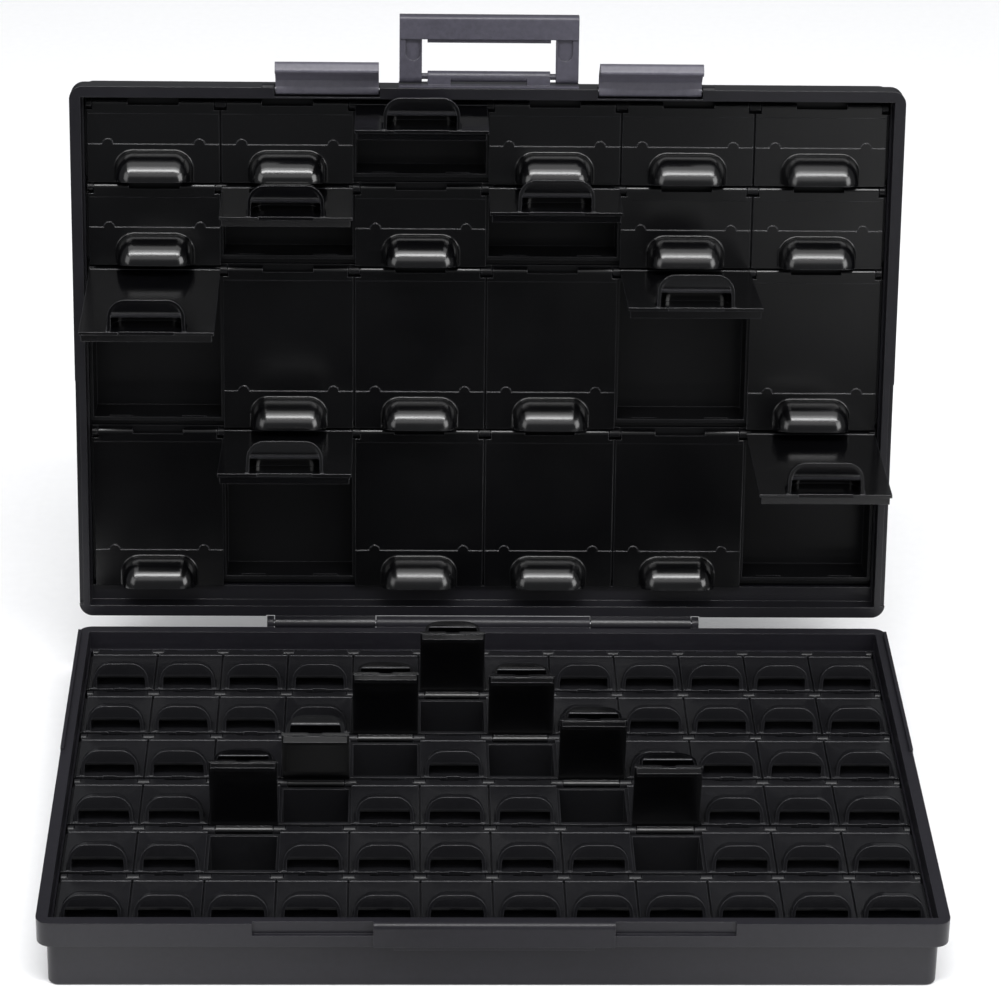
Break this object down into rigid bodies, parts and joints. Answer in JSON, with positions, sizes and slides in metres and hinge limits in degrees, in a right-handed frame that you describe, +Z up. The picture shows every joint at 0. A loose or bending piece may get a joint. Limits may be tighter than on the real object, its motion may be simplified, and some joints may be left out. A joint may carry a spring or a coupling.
{
  "type": "compartment storage box",
  "caption": "Flat hinged case with rows of small lidded cells in both halves, a folding carry handle and two swing latches.",
  "frame": {"origin": "middle of the underside of the base, under the centre of its rim", "axes": "+Z up, X along the rows of cells, +Y from the front edge towards the hinge between the halves"},
  "size_m": [0.246, 0.2169, 0.2052],
  "materials": {
    "shell_black": "satin",
    "tray_black": "satin",
    "cover_black": "satin",
    "handle_grey": "satin",
    "pin_steel": "satin"
  },
  "bodies": {
    "base": {"base_shell": "shell_black", "base_tray_1": "tray_black", "base_tray_2": "tray_black", "base_tray_3": "tray_black", "base_tray_4": "tray_black", "base_tray_5": "tray_black", "base_tray_6": "tray_black", "hinge_pin": "pin_steel"},
    "lid": {"lid_shell": "shell_black", "lid_tray_1": "tray_black", "lid_tray_2": "tray_black", "lid_tray_3": "tray_black", "lid_tray_4": "tray_black", "handle_bracket": "handle_grey", "handle_pin": "pin_steel", "latch_pins": "pin_steel"},
    "handle": {"handle": "handle_grey"},
    "latch_left": {"latch_left": "handle_grey"},
    "latch_right": {"latch_right": "handle_grey"},
    "base_covers_row_1": {"base_covers_row_1": "cover_black"},
    "base_covers_row_2": {"base_covers_row_2": "cover_black"},
    "base_covers_row_3": {"base_covers_row_3": "cover_black"},
    "base_covers_row_4": {"base_covers_row_4": "cover_black"},
    "base_covers_row_5": {"base_covers_row_5": "cover_black"},
    "base_covers_row_6": {"base_covers_row_6": "cover_black"},
    "base_cover_r2c6": {"base_cover_r2c6": "cover_black"},
    "base_cover_r3c5": {"base_cover_r3c5": "cover_black"},
    "base_cover_r3c7": {"base_cover_r3c7": "cover_black"},
    "base_cover_r4c4": {"base_cover_r4c4": "cover_black"},
    "base_cover_r4c8": {"base_cover_r4c8": "cover_black"},
    "base_cover_r5c3": {"base_cover_r5c3": "cover_black"},
    "base_cover_r5c9": {"base_cover_r5c9": "cover_black"},
    "lid_cover_r1c1": {"lid_cover_r1c1": "cover_black"},
    "lid_cover_r1c2": {"lid_cover_r1c2": "cover_black"},
    "lid_cover_r1c3": {"lid_cover_r1c3": "cover_black"},
    "lid_cover_r1c4": {"lid_cover_r1c4": "cover_black"},
    "lid_cover_r1c5": {"lid_cover_r1c5": "cover_black"},
    "lid_cover_r1c6": {"lid_cover_r1c6": "cover_black"},
    "lid_cover_r2c1": {"lid_cover_r2c1": "cover_black"},
    "lid_cover_r2c2": {"lid_cover_r2c2": "cover_black"},
    "lid_cover_r2c3": {"lid_cover_r2c3": "cover_black"},
    "lid_cover_r2c4": {"lid_cover_r2c4": "cover_black"},
    "lid_cover_r2c5": {"lid_cover_r2c5": "cover_black"},
    "lid_cover_r2c6": {"lid_cover_r2c6": "cover_black"},
    "lid_cover_r3c1": {"lid_cover_r3c1": "cover_black"},
    "lid_cover_r3c2": {"lid_cover_r3c2": "cover_black"},
    "lid_cover_r3c3": {"lid_cover_r3c3": "cover_black"},
    "lid_cover_r3c4": {"lid_cover_r3c4": "cover_black"},
    "lid_cover_r3c5": {"lid_cover_r3c5": "cover_black"},
    "lid_cover_r3c6": {"lid_cover_r3c6": "cover_black"},
    "lid_cover_r4c1": {"lid_cover_r4c1": "cover_black"},
    "lid_cover_r4c2": {"lid_cover_r4c2": "cover_black"},
    "lid_cover_r4c3": {"lid_cover_r4c3": "cover_black"},
    "lid_cover_r4c4": {"lid_cover_r4c4": "cover_black"},
    "lid_cover_r4c5": {"lid_cover_r4c5": "cover_black"},
    "lid_cover_r4c6": {"lid_cover_r4c6": "cover_black"}
  },
  "joints": [
    {"name": "lid_hinge", "type": "hinge", "parent": "base", "child": "lid", "pos_m": [0, 0.08395, 0.02165], "axis": [-1, 0, 0], "range_deg": [-60, 0]},
    {"name": "handle_hinge", "type": "hinge", "parent": "lid", "child": "handle", "pos_m": [0, 0.11723, 0.18708], "axis": [-1, 0, 0], "range_deg": [-85, 90]},
    {"name": "latch_left_hinge", "type": "hinge", "parent": "lid", "child": "latch_left", "pos_m": [-0.04745, 0.11517, 0.18353], "axis": [-1, 0, 0], "range_deg": [-38, 52]},
    {"name": "latch_right_hinge", "type": "hinge", "parent": "lid", "child": "latch_right", "pos_m": [0.04745, 0.11517, 0.18353], "axis": [-1, 0, 0], "range_deg": [-38, 52]},
    {"name": "base_covers_row_1_hinge", "type": "hinge", "parent": "base", "child": "base_covers_row_1", "pos_m": [0, 0.0756, 0.0154], "axis": [-1, 0, 0], "range_deg": [0, 83]},
    {"name": "base_covers_row_2_hinge", "type": "hinge", "parent": "base", "child": "base_covers_row_2", "pos_m": [0, 0.05045, 0.0154], "axis": [-1, 0, 0], "range_deg": [0, 90]},
    {"name": "base_covers_row_3_hinge", "type": "hinge", "parent": "base", "child": "base_covers_row_3", "pos_m": [0, 0.0253, 0.0154], "axis": [-1, 0, 0], "range_deg": [0, 90]},
    {"name": "base_covers_row_4_hinge", "type": "hinge", "parent": "base", "child": "base_covers_row_4", "pos_m": [0, 0.00015, 0.0154], "axis": [-1, 0, 0], "range_deg": [0, 90]},
    {"name": "base_covers_row_5_hinge", "type": "hinge", "parent": "base", "child": "base_covers_row_5", "pos_m": [0, -0.025, 0.0154], "axis": [-1, 0, 0], "range_deg": [0, 90]},
    {"name": "base_covers_row_6_hinge", "type": "hinge", "parent": "base", "child": "base_covers_row_6", "pos_m": [0, -0.05015, 0.0154], "axis": [-1, 0, 0], "range_deg": [0, 90]},
    {"name": "base_cover_r2c6_hinge", "type": "hinge", "parent": "base", "child": "base_cover_r2c6", "pos_m": [-0.00988, 0.05045, 0.0154], "axis": [-1, 0, 0], "range_deg": [-81, 9]},
    {"name": "base_cover_r3c5_hinge", "type": "hinge", "parent": "base", "child": "base_cover_r3c5", "pos_m": [-0.02962, 0.0253, 0.0154], "axis": [-1, 0, 0], "range_deg": [-83, 7]},
    {"name": "base_cover_r3c7_hinge", "type": "hinge", "parent": "base", "child": "base_cover_r3c7", "pos_m": [0.00988, 0.0253, 0.0154], "axis": [-1, 0, 0], "range_deg": [-80.5, 9.5]},
    {"name": "base_cover_r4c4_hinge", "type": "hinge", "parent": "base", "child": "base_cover_r4c4", "pos_m": [-0.04938, 0.00015, 0.0154], "axis": [-1, 0, 0], "range_deg": [-66, 24]},
    {"name": "base_cover_r4c8_hinge", "type": "hinge", "parent": "base", "child": "base_cover_r4c8", "pos_m": [0.02962, 0.00015, 0.0154], "axis": [-1, 0, 0], "range_deg": [-81, 9]},
    {"name": "base_cover_r5c3_hinge", "type": "hinge", "parent": "base", "child": "base_cover_r5c3", "pos_m": [-0.06913, -0.025, 0.0154], "axis": [-1, 0, 0], "range_deg": [-85, 5]},
    {"name": "base_cover_r5c9_hinge", "type": "hinge", "parent": "base", "child": "base_cover_r5c9", "pos_m": [0.04938, -0.025, 0.0154], "axis": [-1, 0, 0], "range_deg": [-80, 10]},
    {"name": "lid_cover_r1c1_hinge", "type": "hinge", "parent": "lid", "child": "lid_cover_r1c1", "pos_m": [-0.09875, 0.11808, 0.17763], "axis": [-1, 0, 0], "range_deg": [0, 90]},
    {"name": "lid_cover_r1c2_hinge", "type": "hinge", "parent": "lid", "child": "lid_cover_r1c2", "pos_m": [-0.05925, 0.11808, 0.17763], "axis": [-1, 0, 0], "range_deg": [0, 90]},
    {"name": "lid_cover_r1c3_hinge", "type": "hinge", "parent": "lid", "child": "lid_cover_r1c3", "pos_m": [-0.01975, 0.11808, 0.17763], "axis": [-1, 0, 0], "range_deg": [-79.7, 10.3]},
    {"name": "lid_cover_r1c4_hinge", "type": "hinge", "parent": "lid", "child": "lid_cover_r1c4", "pos_m": [0.01975, 0.11808, 0.17763], "axis": [-1, 0, 0], "range_deg": [0, 90]},
    {"name": "lid_cover_r1c5_hinge", "type": "hinge", "parent": "lid", "child": "lid_cover_r1c5", "pos_m": [0.05925, 0.11808, 0.17763], "axis": [-1, 0, 0], "range_deg": [0, 90]},
    {"name": "lid_cover_r1c6_hinge", "type": "hinge", "parent": "lid", "child": "lid_cover_r1c6", "pos_m": [0.09875, 0.11808, 0.17763], "axis": [-1, 0, 0], "range_deg": [0, 90]},
    {"name": "lid_cover_r2c1_hinge", "type": "hinge", "parent": "lid", "child": "lid_cover_r2c1", "pos_m": [-0.09875, 0.11367, 0.15287], "axis": [-1, 0, 0], "range_deg": [0, 90]},
    {"name": "lid_cover_r2c2_hinge", "type": "hinge", "parent": "lid", "child": "lid_cover_r2c2", "pos_m": [-0.05925, 0.11367, 0.15287], "axis": [-1, 0, 0], "range_deg": [-77.6, 12.4]},
    {"name": "lid_cover_r2c3_hinge", "type": "hinge", "parent": "lid", "child": "lid_cover_r2c3", "pos_m": [-0.01975, 0.11367, 0.15287], "axis": [-1, 0, 0], "range_deg": [0, 90]},
    {"name": "lid_cover_r2c4_hinge", "type": "hinge", "parent": "lid", "child": "lid_cover_r2c4", "pos_m": [0.01975, 0.11367, 0.15287], "axis": [-1, 0, 0], "range_deg": [-82.5, 7.5]},
    {"name": "lid_cover_r2c5_hinge", "type": "hinge", "parent": "lid", "child": "lid_cover_r2c5", "pos_m": [0.05925, 0.11367, 0.15287], "axis": [-1, 0, 0], "range_deg": [0, 90]},
    {"name": "lid_cover_r2c6_hinge", "type": "hinge", "parent": "lid", "child": "lid_cover_r2c6", "pos_m": [0.09875, 0.11367, 0.15287], "axis": [-1, 0, 0], "range_deg": [0, 90]},
    {"name": "lid_cover_r3c1_hinge", "type": "hinge", "parent": "lid", "child": "lid_cover_r3c1", "pos_m": [-0.09875, 0.10926, 0.12811], "axis": [-1, 0, 0], "range_deg": [-80.3, 9.7]},
    {"name": "lid_cover_r3c2_hinge", "type": "hinge", "parent": "lid", "child": "lid_cover_r3c2", "pos_m": [-0.05925, 0.10926, 0.12811], "axis": [-1, 0, 0], "range_deg": [0, 90]},
    {"name": "lid_cover_r3c3_hinge", "type": "hinge", "parent": "lid", "child": "lid_cover_r3c3", "pos_m": [-0.01975, 0.10926, 0.12811], "axis": [-1, 0, 0], "range_deg": [0, 90]},
    {"name": "lid_cover_r3c4_hinge", "type": "hinge", "parent": "lid", "child": "lid_cover_r3c4", "pos_m": [0.01975, 0.10926, 0.12811], "axis": [-1, 0, 0], "range_deg": [0, 90]},
    {"name": "lid_cover_r3c5_hinge", "type": "hinge", "parent": "lid", "child": "lid_cover_r3c5", "pos_m": [0.05925, 0.10926, 0.12811], "axis": [-1, 0, 0], "range_deg": [-90, 0]},
    {"name": "lid_cover_r3c6_hinge", "type": "hinge", "parent": "lid", "child": "lid_cover_r3c6", "pos_m": [0.09875, 0.10926, 0.12811], "axis": [-1, 0, 0], "range_deg": [0, 90]},
    {"name": "lid_cover_r4c1_hinge", "type": "hinge", "parent": "lid", "child": "lid_cover_r4c1", "pos_m": [-0.09875, 0.10044, 0.07859], "axis": [-1, 0, 0], "range_deg": [0, 90]},
    {"name": "lid_cover_r4c2_hinge", "type": "hinge", "parent": "lid", "child": "lid_cover_r4c2", "pos_m": [-0.05925, 0.10044, 0.07859], "axis": [-1, 0, 0], "range_deg": [-90, 0]},
    {"name": "lid_cover_r4c3_hinge", "type": "hinge", "parent": "lid", "child": "lid_cover_r4c3", "pos_m": [-0.01975, 0.10044, 0.07859], "axis": [-1, 0, 0], "range_deg": [0, 90]},
    {"name": "lid_cover_r4c4_hinge", "type": "hinge", "parent": "lid", "child": "lid_cover_r4c4", "pos_m": [0.01975, 0.10044, 0.07859], "axis": [-1, 0, 0], "range_deg": [0, 90]},
    {"name": "lid_cover_r4c5_hinge", "type": "hinge", "parent": "lid", "child": "lid_cover_r4c5", "pos_m": [0.05925, 0.10044, 0.07859], "axis": [-1, 0, 0], "range_deg": [0, 90]},
    {"name": "lid_cover_r4c6_hinge", "type": "hinge", "parent": "lid", "child": "lid_cover_r4c6", "pos_m": [0.09875, 0.10044, 0.07859], "axis": [-1, 0, 0], "range_deg": [-83.2, 6.8]}
  ]
}
